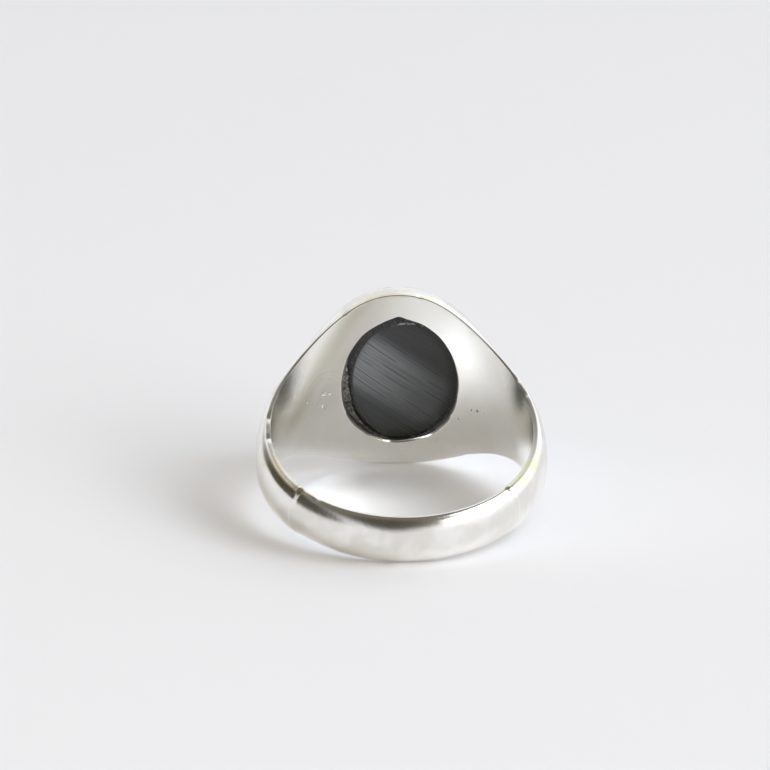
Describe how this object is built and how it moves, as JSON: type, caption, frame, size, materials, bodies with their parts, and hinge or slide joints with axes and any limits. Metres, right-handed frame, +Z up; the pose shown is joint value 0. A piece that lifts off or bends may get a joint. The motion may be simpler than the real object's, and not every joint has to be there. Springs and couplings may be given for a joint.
{
  "type": "signet ring",
  "caption": "Silver signet ring with a flared head, an oval black stone in a bezel, a sawn window behind it and a tapered band; lies on its side.",
  "frame": {"origin": "on the table under the middle of the ring's box, with the ring lying on its side as it rests", "axes": "+Z up from the table, +Y towards the head and its stone, the finger axis leaning 16.5 degrees from +Z towards -Y"},
  "size_m": [0.0204, 0.0226, 0.0143],
  "materials": {
    "silver_body": "cast silver, satin inside, polished outside, worn",
    "silver_shank": "polished silver with fine wear",
    "solder": "silver solder, slightly yellow",
    "silver_bezel": "burnished fine silver",
    "stone": "black onyx, sawn back, polished face",
    "cement": "brown jeweller's cement"
  },
  "bodies": {
    "root": {"ring_body": "silver_body", "half_shank": "silver_shank", "solder_left": "solder", "solder_right": "solder", "bezel_strip": "silver_bezel", "stone": "stone", "stone_cement": "cement"}
  },
  "joints": []
}
